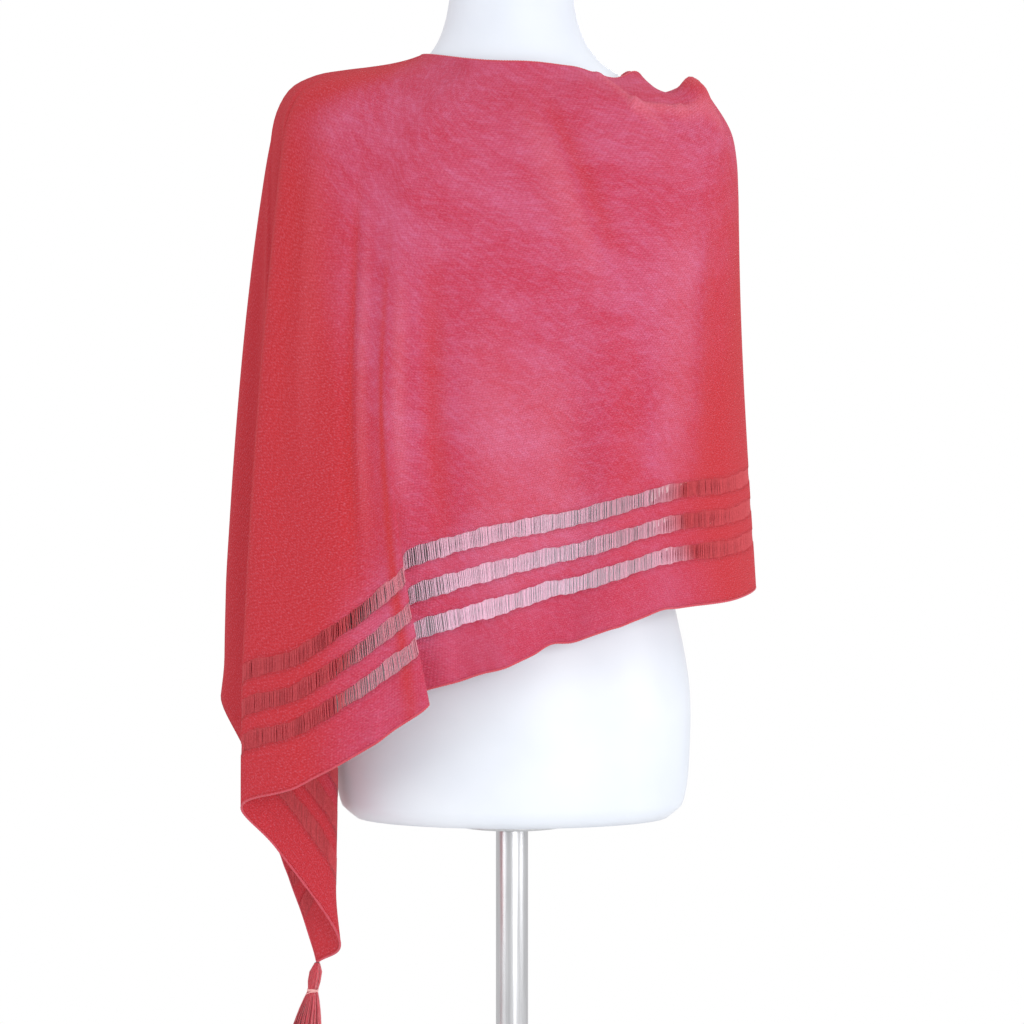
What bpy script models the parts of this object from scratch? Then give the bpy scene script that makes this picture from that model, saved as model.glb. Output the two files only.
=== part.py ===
"""Fine knit poncho on a limbless dress form.

The poncho is one knitted rectangle, 1.15 m by 0.55 m. One short end is joined to the inner
long edge, which leaves a 0.60 m neck loop, one pointed corner with a tassel, and three
openwork stripes along the outer long edge. It hangs over a smooth torso on a pole and plate.
Metres, +Z up. The origin is the middle of the base plate's underside; -Y faces the viewer.
"""
import math

import bmesh
import bpy
import numpy as np
from mathutils import Vector
from mathutils.bvhtree import BVHTree

# Cloth
WALL = 0.0018
CLOTH_CLEAR = 0.0006
LAY_PASSES = 6
LAY_SAMPLES = [(row / 3, column / 3) for row in range(4) for column in range(4)]
SEAM_GAP = 0.0003
COLUMNS_PER_STATION = 4
FALL_EASE = 1.25
FALL_ROWS = 7
SMOOTH_PASSES = 3
RIDGE_FOOT_Z = 1.30
RIDGE_FADE = 0.06

# Openwork stripes, measured up from the hem
HEM_BORDER = 0.038
STRIPE_HIGH = 0.013
STRIPE_PITCH = 0.0265
STRIPES = 3
STRIPE_WALL_SHARE = 0.6
STEP = 0.0012

# Dress form and stand
FORM_BOTTOM = 0.760
FORM_SIDES = 40
POLE_RADIUS = 0.0140
BASE_RADIUS = 0.190
BASE_THICK = 0.010
FLANGE_RADIUS = 0.048
FLANGE_THICK = 0.008
TOUCH = 0.0003

# Tassel
TASSEL_GRID = 6
LOCK_INSET = 0.14
SKIRT_LONG = 0.078
SKIRT_STEPS = 4
SKIRT_SPREAD = 2.4
SKIRT_LEAN = -0.012
TIE_WIRE = 0.0008
TASSEL_SINK = 0.0003
TIE_DOWN = 0.0235
# Outline of the tassel's head, from the cloth's corner down to where the locks start.
TASSEL_HEAD = [
    # down, radius
    (0.0000, 0.0022),
    (0.0030, 0.0042),
    (0.0100, 0.0062),
    (0.0170, 0.0056),
    (0.0235, 0.0042),
    (0.0275, 0.0058),
]

# Sections of the dress form: height, half width, half depth in front, half depth behind.
FORM_SECTIONS = [
    # z, half_width, front, back
    (0.760, 0.136, 0.098, 0.098),
    (0.772, 0.149, 0.108, 0.108),
    (0.820, 0.155, 0.112, 0.113),
    (0.880, 0.154, 0.110, 0.112),
    (0.960, 0.138, 0.098, 0.098),
    (1.030, 0.121, 0.090, 0.086),
    (1.110, 0.134, 0.099, 0.090),
    (1.190, 0.150, 0.115, 0.099),
    (1.270, 0.160, 0.106, 0.104),
    (1.320, 0.172, 0.094, 0.101),
    (1.350, 0.178, 0.080, 0.090),
    (1.368, 0.166, 0.069, 0.079),
    (1.384, 0.136, 0.062, 0.070),
    (1.398, 0.104, 0.058, 0.064),
    (1.414, 0.079, 0.055, 0.060),
    (1.440, 0.062, 0.053, 0.056),
    (1.480, 0.054, 0.052, 0.053),
    (1.520, 0.053, 0.052, 0.052),
    (1.530, 0.046, 0.045, 0.045),
]

# Rings of the cloth from the neck edge to where it falls free. Widths and depths are half
# sizes on each side; z is the height at the left, right, front and back of the ring.
CLOTH_RINGS = [
    # left, right, front, back, z_left, z_right, z_front, z_back
    (0.079, 0.118, 0.062, 0.066, 1.419, 1.380, 1.405, 1.422),
    (0.096, 0.134, 0.069, 0.074, 1.412, 1.383, 1.389, 1.408),
    (0.145, 0.158, 0.086, 0.087, 1.405, 1.384, 1.364, 1.383),
    (0.200, 0.186, 0.105, 0.107, 1.401, 1.369, 1.322, 1.344),
    (0.209, 0.196, 0.124, 0.120, 1.352, 1.340, 1.255, 1.282),
]
RING_ROWS = 2

# Stations round the garment, from the back seam by the right side, the front and the left
# side back to the seam: the direction from the neck, and where the hem lies.
STATIONS = [
    # name, direction_deg, hem_x, hem_y, hem_z, hang
    ("seam, stripe side", 93, 0.0100, 0.1500, 0.8760, 1.05),
    ("back, right of seam", 68, 0.0830, 0.1560, 0.9080, 1.05),
    ("back right", 42, 0.1480, 0.1220, 0.9560, 1.03),
    ("right, behind", 18, 0.1960, 0.0630, 0.9710, 1.00),
    ("right side", -4, 0.2110, -0.0050, 0.9600, 1.00),
    ("right, in front", -24, 0.1850, -0.0680, 0.9500, 1.00),
    ("front right", -44, 0.1370, -0.1150, 0.9450, 1.00),
    ("front, ripple out", -62, 0.0920, -0.1440, 0.9340, 1.00),
    ("front, ripple in", -76, 0.0530, -0.1400, 0.9190, 1.03),
    ("front, middle", -91, -0.0040, -0.1520, 0.9040, 1.09),
    ("beside the pleat", -107, -0.0830, -0.1530, 0.8870, 1.12),
    ("pleat, under", -115, -0.1090, -0.1535, 0.8770, 1.11),
    ("pleat, edge", -118.5, -0.1200, -0.1540, 0.8665, 1.09),
    ("pleat, outer", -123, -0.1390, -0.1540, 0.8480, 1.10),
    ("front left", -130, -0.1500, -0.1490, 0.8290, 1.09),
    ("left, in front", -142, -0.1800, -0.1320, 0.7990, 1.09),
    ("left ridge", -155, -0.2222, -0.1000, 0.7800, 1.12),
    ("behind the ridge", -162, -0.1950, -0.0840, 0.7410, 1.25),
    ("inner fold", -167, -0.1460, -0.0610, 0.6640, 1.40),
    ("point", -171, -0.1666, -0.0300, 0.6380, 1.42),
    ("above the point", -176, -0.2035, -0.0080, 0.7380, 1.20),
    ("short edge, rising", -181, -0.2310, 0.0200, 0.8090, 1.10),
    ("far left fold", -189, -0.2560, 0.0550, 0.8660, 1.00),
    ("back left", -214, -0.1900, 0.1260, 0.8680, 1.00),
    ("back, left of seam", -244, -0.0850, 0.1520, 0.8760, 1.00),
    ("seam, plain side", -267, 0.0100, 0.1500, 0.8760, 1.05),
]
POINT_STATION = 19

# The soft pleat near the middle of the front: how far its stations shift at the hem, on top of
# the smooth hem line. It opens only in the lowest part of the fall.
PLEAT_FROM_SHARE = 0.30
PLEAT_EASE = 1.5
PLEAT_SHIFTS = [
    # station, shift_x, shift_y
    (9, 0.0100, 0.0000),
    (10, 0.0410, 0.0080),
    (11, 0.0350, 0.0120),
    (12, 0.0510, -0.0050),
    (13, 0.0440, 0.0000),
    (14, 0.0280, 0.0000),
    (15, 0.0060, 0.0000),
]

# Long soft folds that run down from the shoulders: the station they follow, their greatest
# stand-off, their half width in stations, and the share of the fall where they are strongest.
FOLDS = [
    # station, stand_off, half_width, from_share, to_share
    (0.0, 0.005, 0.6, 0.05, 1.10),
    (1.1, -0.008, 0.6, 0.20, 0.95),
    (2.1, 0.014, 0.7, 0.20, 1.00),
    (7.4, 0.006, 0.9, 0.35, 1.00),
    (8.6, -0.005, 0.8, 0.35, 0.95),
    (11.6, 0.006, 0.9, 0.20, 0.80),
    (14.4, 0.006, 0.8, 0.20, 0.90),
    (16.0, 0.014, 0.9, 0.05, 0.85),
    (18.3, -0.024, 1.1, 0.00, 0.74),
    (4.4, -0.004, 1.2, 0.10, 0.80),
    (22.0, 0.014, 0.9, 0.00, 0.75),
    (23.2, -0.006, 0.6, 0.10, 0.90),
    (24.1, 0.010, 0.4, 0.25, 1.00),
    (25.0, 0.005, 0.6, 0.05, 1.10),
]

# Creases that the neck loop's spare length throws up across the right shoulder.
SHOULDER_RIDGES = [
    # x0, y0, x1, y1, rise, half_width
    (0.104, 0.030, 0.101, -0.020, 0.022, 0.017),
    (0.160, 0.045, 0.158, -0.030, 0.018, 0.012),
    (0.060, -0.070, 0.125, -0.085, 0.006, 0.012),
]

COLOURS = {
    "red_knit": (0.56, 0.045, 0.06),
    "tassel_yarn": (0.60, 0.045, 0.06),
    "tie_thread": (0.85, 0.42, 0.40),
    "form_shell": (0.80, 0.84, 0.90),
    "stand_metal": (0.62, 0.63, 0.65),
}


def clear_scene():
    for item in list(bpy.data.objects):
        bpy.data.objects.remove(item)


def make_material(name, roughness, metallic=0.0):
    material = bpy.data.materials.new(name)
    material.use_nodes = True
    shader = material.node_tree.nodes["Principled BSDF"]
    shader.inputs["Base Color"].default_value = (*COLOURS[name], 1.0)
    shader.inputs["Roughness"].default_value = roughness
    shader.inputs["Metallic"].default_value = metallic
    return material


def add_object(name, mesh, material, collection):
    item = bpy.data.objects.new(name, mesh)
    mesh.materials.append(material)
    mesh.shade_smooth()
    mesh.set_sharp_from_angle(angle=math.radians(50))
    collection.objects.link(item)
    return item


def smooth_table(table, at):
    """Reads a table of rows at fractional row numbers, along cubic curves with limited overshoot."""
    rows = np.asarray(table, float)
    steps = np.diff(rows, axis=0)
    slopes = np.vstack([steps[:1], (steps[:-1] + steps[1:]) / 2, steps[-1:]])
    at = np.clip(np.asarray(at, float), 0, len(rows) - 1)
    low = np.minimum(at.astype(int), len(rows) - 2)
    t = (at - low)[:, None]
    start, end = rows[low], rows[low + 1]
    return (
        (2 * t**3 - 3 * t**2 + 1) * start
        + (t**3 - 2 * t**2 + t) * slopes[low]
        + (3 * t**2 - 2 * t**3) * end
        + (t**3 - t**2) * slopes[low + 1]
    )


def form_rings():
    """Closed rings of the torso, lowest first: ellipses with a deeper front where the bust line is."""
    rings = []
    for z, half_width, front, back in FORM_SECTIONS:
        turn = np.arange(FORM_SIDES) * 2 * math.pi / FORM_SIDES
        depth = np.where(np.sin(turn) < 0, front, back)
        rings.append(np.stack([half_width * np.cos(turn), depth * np.sin(turn), np.full(FORM_SIDES, z)], 1))
    return np.array(rings)


def loft_mesh(name, rings):
    """A closed solid from rings of equal count, capped at both ends with the corners kept flat."""
    count, sides, _ = rings.shape
    faces = []
    for ring in range(count - 1):
        for side in range(sides):
            after = (side + 1) % sides
            low, high = ring * sides, (ring + 1) * sides
            faces.append((low + side, low + after, high + after, high + side))
    faces.append(tuple(reversed(range(sides))))
    faces.append(tuple(range((count - 1) * sides, count * sides)))
    mesh = bpy.data.meshes.new(name)
    mesh.from_pydata(rings.reshape(-1, 3).tolist(), [], faces)
    mesh.update()
    return mesh


def form_tree():
    """The torso's surface, for finding where the cloth lies on it."""
    mesh = loft_mesh("form_guide", form_rings())
    shape = bmesh.new()
    shape.from_mesh(mesh)
    bmesh.ops.triangulate(shape, faces=shape.faces)
    tree = BVHTree.FromBMesh(shape)
    shape.free()
    bpy.data.meshes.remove(mesh)
    return tree


def cloth_columns():
    """Fractional station numbers of the cloth's columns."""
    return np.linspace(0, len(STATIONS) - 1, (len(STATIONS) - 1) * COLUMNS_PER_STATION + 1)


def stripe_edges():
    """Distances from the hem of every stripe's lower and upper edge, lowest first."""
    lowest = [HEM_BORDER + index * STRIPE_PITCH for index in range(STRIPES)]
    return [(edge, edge + STRIPE_HIGH) for edge in lowest]


def row_heights():
    """Distances from the hem of the rows in the border, highest first, and each row's wall share."""
    rows = [(0.0, 1.0)]
    for low, high in stripe_edges():
        rows += [(low - STEP, 1.0), (low, STRIPE_WALL_SHARE), (high, STRIPE_WALL_SHARE), (high + STEP, 1.0)]
    return rows[::-1]


def upper_rings(columns):
    """Points of the rings from the neck edge to the free fall, one row of points for each ring row."""
    direction = np.radians(smooth_table([row[1:2] for row in STATIONS], columns)[:, 0])
    cosine, sine = np.cos(direction), np.sin(direction)
    ring_at = np.linspace(0, len(CLOTH_RINGS) - 1, (len(CLOTH_RINGS) - 1) * RING_ROWS + 1)
    rings = []
    for left, right, front, back, z_left, z_right, z_front, z_back in smooth_table(CLOTH_RINGS, ring_at):
        x = np.where(cosine > 0, right, left) * cosine
        y = np.where(sine < 0, front, back) * sine
        side = np.where(cosine > 0, z_right, z_left)
        middle = np.where(sine < 0, z_front, z_back)
        z = side * cosine**2 + middle * sine**2
        rings.append(np.stack([x, y, z], 1))
    return rings


def ridge_rise(points):
    """How far the shoulder creases lift a point: a bell shape across each crease's line in plan."""
    rise = np.zeros(len(points))
    for x0, y0, x1, y1, high, half_width in SHOULDER_RIDGES:
        start, along = np.array([x0, y0]), np.array([x1 - x0, y1 - y0])
        share = np.clip((points[:, :2] - start) @ along / (along @ along), 0, 1)
        off = np.linalg.norm(points[:, :2] - start - share[:, None] * along, axis=1)
        rise += high * np.exp(-((off / half_width) ** 2))
    return rise


def fold_stand_off(columns, share):
    """How far the long folds push the cloth out at one share of the fall."""
    push = np.zeros(len(columns))
    for station, stand_off, half_width, start, end in FOLDS:
        across = np.exp(-(((columns - station) / half_width) ** 2))
        middle, half = (start + end) / 2, (end - start) / 2
        down = math.cos(min(1.0, abs(share - middle) / (half * 1.5)) * math.pi / 2)
        push += stand_off * across * down
    return push


def hem_heights(columns):
    """Height of the hem: one smooth run along the long edge, one along the short edge, met at the point."""
    heights = [row[4:5] for row in STATIONS]
    long_edge = smooth_table(heights[: POINT_STATION + 1], columns)[:, 0]
    short_edge = smooth_table(heights[POINT_STATION:], columns - POINT_STATION)[:, 0]
    return np.where(columns <= POINT_STATION, long_edge, short_edge)


def pleat_shift(columns):
    """Plan shift of each column at the hem, from the pleat's stations and none at the others."""
    shifts = np.zeros((len(STATIONS), 2))
    for station, shift_x, shift_y in PLEAT_SHIFTS:
        shifts[station] = shift_x, shift_y
    return smooth_table(shifts, columns)


def cloth_grid():
    """Points of the cloth's inner face, rows from the neck edge to the hem, and each row's wall share."""
    columns = cloth_columns()
    rings = upper_rings(columns)
    hem = smooth_table([row[2:5] for row in STATIONS], columns)
    hem[:, 2] = hem_heights(columns)
    pleat = pleat_shift(columns)
    fall = rings[-1]
    outward = np.stack([fall[:, 0], fall[:, 1]], 1)
    outward /= np.linalg.norm(outward, axis=1)[:, None]
    length = np.linalg.norm(hem - fall, axis=1)
    border = row_heights()
    hang = smooth_table([row[5:6] for row in STATIONS], columns)[:, 0]
    border_share = 1 - np.array([high for high, _ in border])[:, None] * hang / length
    first = border_share[0]
    shares = [first * step / (FALL_ROWS + 1) for step in range(1, FALL_ROWS + 1)]
    shares += list(border_share)
    for share in shares:
        ease = share**FALL_EASE
        plan = fall[:, :2] * (1 - ease)[:, None] + hem[:, :2] * ease[:, None]
        plan = plan + outward * fold_stand_off(columns, float(share.mean()))[:, None]
        opened = np.clip((share - PLEAT_FROM_SHARE) / (1 - PLEAT_FROM_SHARE), 0, 1) ** PLEAT_EASE
        plan = plan + pleat * opened[:, None]
        height = fall[:, 2] * (1 - share) + hem[:, 2] * share
        rings.append(np.column_stack([plan, height]))
    grid = np.array(rings)
    plain_rows = len(grid) - len(border)
    for _ in range(SMOOTH_PASSES):
        grid[1:plain_rows] = (grid[: plain_rows - 1] + 2 * grid[1:plain_rows] + grid[2 : plain_rows + 1]) / 4
    lift_on_shoulder = np.clip((grid[:, :, 2] - RIDGE_FOOT_Z) / RIDGE_FADE, 0, 1)
    for row in range(len(grid)):
        grid[row, :, 2] += ridge_rise(grid[row]) * lift_on_shoulder[row]
    thick = [1.0] * plain_rows + [wall for _, wall in border]
    return grid, thick


def lay_on_form(grid, tree):
    """Pushes the cloth out wherever a point of it, or of the faces between points, is too near the torso."""
    for _ in range(LAY_PASSES):
        shift = np.zeros_like(grid)
        for row_share, column_share in LAY_SAMPLES:
            upper = grid[:-1, :-1] * (1 - column_share) + grid[:-1, 1:] * column_share
            lower = grid[1:, :-1] * (1 - column_share) + grid[1:, 1:] * column_share
            samples = upper * (1 - row_share) + lower * row_share
            for row, column in np.ndindex(samples.shape[:2]):
                point = Vector(samples[row, column])
                near, normal, _, _ = tree.find_nearest(point)
                lack = CLOTH_CLEAR - (point - near).dot(normal)
                if lack > 0:
                    push = np.array(normal * lack)
                    corners = shift[row : row + 2, column : column + 2]
                    further = np.linalg.norm(push) > np.linalg.norm(corners, axis=2)
                    corners[further] = push
        grid += shift
    return grid


def make_panel(material, collection):
    """The knitted rectangle as it hangs: one sheet from seam edge to seam edge, given its wall."""
    grid, wall_shares = cloth_grid()
    grid = lay_on_form(grid, form_tree())
    grid[:, 0, 0] += SEAM_GAP / 2
    grid[:, -1] = grid[:, 0]
    grid[:, -1, 0] -= SEAM_GAP
    rows, columns, _ = grid.shape
    shape = bmesh.new()
    bmesh.ops.create_grid(shape, x_segments=columns - 1, y_segments=rows - 1, size=1.0)
    for vert, point in zip(shape.verts, grid.reshape(-1, 3)):
        vert.co = point
    for edge in shape.edges:
        row = edge.verts[0].index // columns
        edge.smooth = row != edge.verts[1].index // columns or wall_shares[row] == 1.0
    mesh = bpy.data.meshes.new("knit_panel")
    shape.to_mesh(mesh)
    shape.free()
    panel = add_object("knit_panel", mesh, material, collection)
    group = panel.vertex_groups.new(name="wall_share")
    last_stripe_column = POINT_STATION * COLUMNS_PER_STATION
    for row in range(rows):
        for column in range(columns):
            share = wall_shares[row] if column <= last_stripe_column else 1.0
            group.add([row * columns + column], share, "REPLACE")
    solid = panel.modifiers.new("wall", "SOLIDIFY")
    solid.thickness = WALL
    solid.offset = 1.0
    solid.use_even_offset = True
    solid.vertex_group = "wall_share"
    return panel


def disc_point(x, y):
    """Moves a point of the square from -1 to 1 onto the unit disc, keeping rings of squares as circles."""
    return x * math.sqrt(1 - y * y / 2), y * math.sqrt(1 - x * x / 2)


def make_tassel(top, material, collection):
    """A head of bound yarn whose underside is a grid of cells, each drawn out into a hanging lock."""
    shape = bmesh.new()
    bmesh.ops.create_grid(shape, x_segments=TASSEL_GRID, y_segments=TASSEL_GRID, size=1.0)
    down, radius = TASSEL_HEAD[-1]
    for vert in shape.verts:
        x, y = disc_point(vert.co.x, vert.co.y)
        vert.co = top + Vector((x * radius, y * radius, -down))
    for face in shape.faces:
        face.normal_flip()
    rim = [edge for edge in shape.edges if edge.is_boundary]
    for (low, low_radius), (high, high_radius) in zip(TASSEL_HEAD[::-1], TASSEL_HEAD[-2::-1]):
        raised = bmesh.ops.extrude_edge_only(shape, edges=rim)["geom"]
        for vert in (item for item in raised if isinstance(item, bmesh.types.BMVert)):
            vert.co.x = top.x + (vert.co.x - top.x) * high_radius / low_radius
            vert.co.y = top.y + (vert.co.y - top.y) * high_radius / low_radius
            vert.co.z += low - high
        rim = [item for item in raised if isinstance(item, bmesh.types.BMEdge) and item.is_boundary]
    bmesh.ops.contextual_create(shape, geom=rim)
    bmesh.ops.recalc_face_normals(shape, faces=shape.faces)
    locks = [face for face in shape.faces if face.normal.z < -0.9]
    bmesh.ops.inset_individual(shape, faces=locks, thickness=LOCK_INSET * 2 * radius / TASSEL_GRID)
    spread = 1.0
    for step in range(SKIRT_STEPS):
        locks = bmesh.ops.extrude_discrete_faces(shape, faces=locks)["faces"]
        wider = 1 + (SKIRT_SPREAD - 1) * (1 - (1 - (step + 1) / SKIRT_STEPS) ** 2)
        for vert in {vert for face in locks for vert in face.verts}:
            vert.co.x = top.x + (vert.co.x - top.x) * wider / spread + SKIRT_LEAN / SKIRT_STEPS
            vert.co.y = top.y + (vert.co.y - top.y) * wider / spread
            vert.co.z -= SKIRT_LONG / SKIRT_STEPS
        spread = wider
    mesh = bpy.data.meshes.new("tassel")
    shape.to_mesh(mesh)
    shape.free()
    return add_object("tassel", mesh, material, collection)


def make_tie(top, material, collection):
    """The pale thread wound round the tassel's waist, clear of the yarn by the touching gap."""
    waist = min(radius for down, radius in TASSEL_HEAD if down > 0.02)
    bpy.ops.mesh.primitive_torus_add(
        major_radius=waist + TIE_WIRE + 2 * TOUCH,
        minor_radius=TIE_WIRE,
        major_segments=24,
        minor_segments=6,
        location=top + Vector((0, 0, -TIE_DOWN)),
    )
    tie = bpy.context.active_object
    tie.name = tie.data.name = "tassel_tie"
    tie.data.materials.append(material)
    for holder in list(tie.users_collection):
        holder.objects.unlink(tie)
    collection.objects.link(tie)
    return tie


def make_form(material, collection):
    return add_object("form_torso", loft_mesh("form_torso", form_rings()), material, collection)


def make_disc(name, radius, low, high, sides, bevel, material, collection):
    """A round plate or rod between two heights, with a rounded edge where it has one."""
    shape = bmesh.new()
    bmesh.ops.create_cone(
        shape, cap_ends=True, segments=sides, radius1=radius, radius2=radius, depth=high - low
    )
    bmesh.ops.translate(shape, verts=shape.verts, vec=(0, 0, (low + high) / 2))
    mesh = bpy.data.meshes.new(name)
    shape.to_mesh(mesh)
    shape.free()
    disc = add_object(name, mesh, material, collection)
    if bevel:
        edge = disc.modifiers.new("rounded_edge", "BEVEL")
        edge.width = bevel
        edge.segments = 2
        edge.limit_method = "ANGLE"
    return disc


def main():
    clear_scene()
    collection = bpy.data.collections.new("poncho_on_dress_form")
    bpy.context.scene.collection.children.link(collection)
    knit = make_material("red_knit", 0.9)
    shell = make_material("form_shell", 0.35)
    metal = make_material("stand_metal", 0.3, 1.0)
    panel = make_panel(knit, collection)
    lowest = min(panel.data.vertices, key=lambda vert: vert.co.z).co
    tassel_top = lowest + Vector((0, WALL / 2, -TOUCH - TASSEL_SINK))
    make_tassel(tassel_top, make_material("tassel_yarn", 0.85), collection)
    make_tie(tassel_top, make_material("tie_thread", 0.8), collection)
    make_form(shell, collection)
    make_disc("stand_base", BASE_RADIUS, 0.0, BASE_THICK, 48, 0.003, metal, collection)
    flange_low = FORM_BOTTOM - TOUCH - FLANGE_THICK
    make_disc("stand_pole", POLE_RADIUS, BASE_THICK + TOUCH, flange_low - TOUCH, 20, 0, metal, collection)
    make_disc("stand_flange", FLANGE_RADIUS, flange_low, FORM_BOTTOM - TOUCH, 32, 0.002, metal, collection)


main()
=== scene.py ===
"""A fine knit poncho with one tasselled point and an openwork border, on a limbless dress form."""

import bpy
import numpy as np
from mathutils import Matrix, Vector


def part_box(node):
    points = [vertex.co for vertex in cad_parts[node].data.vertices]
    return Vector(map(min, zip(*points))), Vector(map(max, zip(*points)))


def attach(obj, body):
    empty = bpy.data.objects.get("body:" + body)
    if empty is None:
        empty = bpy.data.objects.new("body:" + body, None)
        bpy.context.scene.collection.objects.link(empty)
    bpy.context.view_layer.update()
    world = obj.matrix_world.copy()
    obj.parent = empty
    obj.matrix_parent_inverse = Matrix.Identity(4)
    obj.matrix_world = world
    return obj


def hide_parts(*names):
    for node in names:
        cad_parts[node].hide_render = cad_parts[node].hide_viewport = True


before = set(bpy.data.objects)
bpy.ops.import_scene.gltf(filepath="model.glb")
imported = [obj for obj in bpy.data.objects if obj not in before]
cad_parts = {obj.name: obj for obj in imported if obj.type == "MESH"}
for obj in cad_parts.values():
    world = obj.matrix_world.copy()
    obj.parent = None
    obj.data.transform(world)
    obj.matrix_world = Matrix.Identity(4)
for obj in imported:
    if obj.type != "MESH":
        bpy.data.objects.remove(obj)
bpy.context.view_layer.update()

# ---- Dress form ----
# The torso and neck that the poncho lies on: one moulded glass-fibre shell, filled, sanded and
# sprayed satin white, with a faint orange-peel in the paint. It has no arms, head or legs.

FORM_INSET = 0.0006
FORM_AROUND = 160
FORM_UP = 150
FORM_SECTIONS = np.array(
    [
        # z, half_width, front, back
        (0.760, 0.136, 0.098, 0.098),
        (0.772, 0.149, 0.108, 0.108),
        (0.820, 0.155, 0.112, 0.113),
        (0.880, 0.154, 0.110, 0.112),
        (0.960, 0.138, 0.098, 0.098),
        (1.030, 0.121, 0.090, 0.086),
        (1.110, 0.134, 0.099, 0.090),
        (1.190, 0.150, 0.115, 0.099),
        (1.270, 0.160, 0.106, 0.104),
        (1.320, 0.172, 0.094, 0.101),
        (1.350, 0.178, 0.080, 0.090),
        (1.368, 0.166, 0.069, 0.079),
        (1.384, 0.136, 0.062, 0.070),
        (1.398, 0.104, 0.058, 0.064),
        (1.414, 0.079, 0.055, 0.060),
        (1.440, 0.062, 0.053, 0.056),
        (1.480, 0.054, 0.052, 0.053),
        (1.520, 0.053, 0.052, 0.052),
        (1.530, 0.046, 0.045, 0.045),
    ]
)
FORM_FOOT, FORM_TOP = FORM_SECTIONS[[0, -1], 0]
# The last rings at the foot and at the top of the neck, as shares of the end's size.
FORM_END_RINGS = np.array([0.001, 0.5, 0.9])


def cubic_between(t, span, first, first_slope, last, last_slope):
    """Cubic curve from one value to the next as t runs from 0 to 1: it leaves and arrives with the
    given slopes, which are changes per length of a span."""
    return (
        (2 * t**3 - 3 * t**2 + 1) * first
        + (t**3 - 2 * t**2 + t) * span * first_slope
        + (3 * t**2 - 2 * t**3) * last
        + (t**3 - t**2) * span * last_slope
    )


def along_knots(values, knots, at):
    """Cubic curve through rows of values at rising knots. A slope is the change between the two
    neighbours over the distance between them."""
    slopes = np.gradient(values, axis=0) / np.gradient(knots)[:, None]
    low = np.clip(np.searchsorted(knots, at, side="right") - 1, 0, len(knots) - 2)
    span = (knots[low + 1] - knots[low])[:, None]
    t = np.clip((at - knots[low])[:, None] / span, 0, 1)
    return cubic_between(t, span, values[low], slopes[low], values[low + 1], slopes[low + 1])


def grid_faces(rows, columns, closed):
    """Four-cornered faces of a grid of points stored row by row. In a closed grid the last column
    is joined to the first."""
    across = np.arange(columns if closed else columns - 1)
    row = np.arange(rows - 1)[:, None] * columns
    after = (across + 1) % columns
    corners = [row + across, row + after, row + columns + after, row + columns + across]
    return np.stack(corners, 2).reshape(-1, 4)


def new_piece(name, points, faces, material):
    """A smooth mesh object at the origin from an array of points and its faces, in one material."""
    mesh = bpy.data.meshes.new(name)
    corners = faces.tolist() if isinstance(faces, np.ndarray) else faces
    mesh.from_pydata(points.reshape(-1, 3).tolist(), [], corners)
    mesh.update()
    mesh.materials.append(material)
    mesh.polygons.foreach_set("use_smooth", np.full(len(mesh.polygons), True))
    piece = bpy.data.objects.new(name, mesh)
    bpy.context.scene.collection.objects.link(piece)
    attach(piece, "root")
    return piece


def new_material(name, colour, roughness):
    """A Principled material, and a short way to add nodes to it. An input is given by its name, or
    by an underscore and its number, and is either a value or another node's output."""
    material = bpy.data.materials.new(name)
    material.use_nodes = True
    tree = material.node_tree
    shader = tree.nodes["Principled BSDF"]
    shader.inputs["Base Color"].default_value = (*colour, 1)
    shader.inputs["Roughness"].default_value = roughness

    def add(kind, **inputs):
        node = tree.nodes.new("ShaderNode" + kind)
        for key, value in inputs.items():
            socket = node.inputs[int(key[1:])] if key[1:].isdigit() else node.inputs[key]
            if isinstance(value, bpy.types.NodeSocket):
                tree.links.new(value, socket)
            else:
                socket.default_value = value
        return node

    return material, shader, tree, add


def noise(place, scale, detail, roughness=0.5):
    """A Noise node's result, from 0 to 1, in the material that is being made."""
    node = add("TexNoise", Vector=place, Scale=scale, Detail=detail, Roughness=roughness)
    return node.outputs["Fac"]


shell_paint, shader, tree, add = new_material("shell_paint", (0.80, 0.84, 0.90), 0.46)
place = add("TexCoord").outputs["Object"]
tone = add("ValToRGB", Fac=noise(place, 9.0, 3.0))
darker, paler = tone.color_ramp.elements
darker.position, darker.color = 0.3, (0.70, 0.75, 0.83, 1)
paler.position, paler.color = 0.7, (0.77, 0.815, 0.88, 1)
tree.links.new(tone.outputs["Color"], shader.inputs["Base Color"])
bump = add("Bump", Strength=0.05, Distance=0.0004, Height=noise(place, 420.0, 1.0))
tree.links.new(bump.outputs["Normal"], shader.inputs["Normal"])
shader.inputs["Coat Weight"].default_value = 0.15
shader.inputs["Coat Roughness"].default_value = 0.25


def form_size(z):
    """Half width, half depth in front and half depth behind of the form at heights z."""
    return along_knots(FORM_SECTIONS[:, 1:], FORM_SECTIONS[:, 0], z)


def form_shell():
    """Half ellipses in front and behind at every height, and at each end rings that shrink almost
    to a point."""
    z = np.linspace(FORM_FOOT, FORM_TOP, FORM_UP)
    size = form_size(z) - FORM_INSET
    z = np.concatenate([[z[0]] * len(FORM_END_RINGS), z, [z[-1]] * len(FORM_END_RINGS)])
    shrink = FORM_END_RINGS[:, None]
    size = np.concatenate([size[:1] * shrink, size, size[-1:] * shrink[::-1]])
    turn = np.linspace(0, 2 * np.pi, FORM_AROUND, endpoint=False)
    depth = np.where(np.sin(turn) < 0, size[:, 1:2], size[:, 2:3])
    return np.stack([size[:, :1] * np.cos(turn), depth * np.sin(turn), z[:, None] + 0 * turn], 2)


shell = form_shell()
form = new_piece("form_shell", shell, grid_faces(*shell.shape[:2], True), shell_paint)
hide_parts("form_torso")

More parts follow.
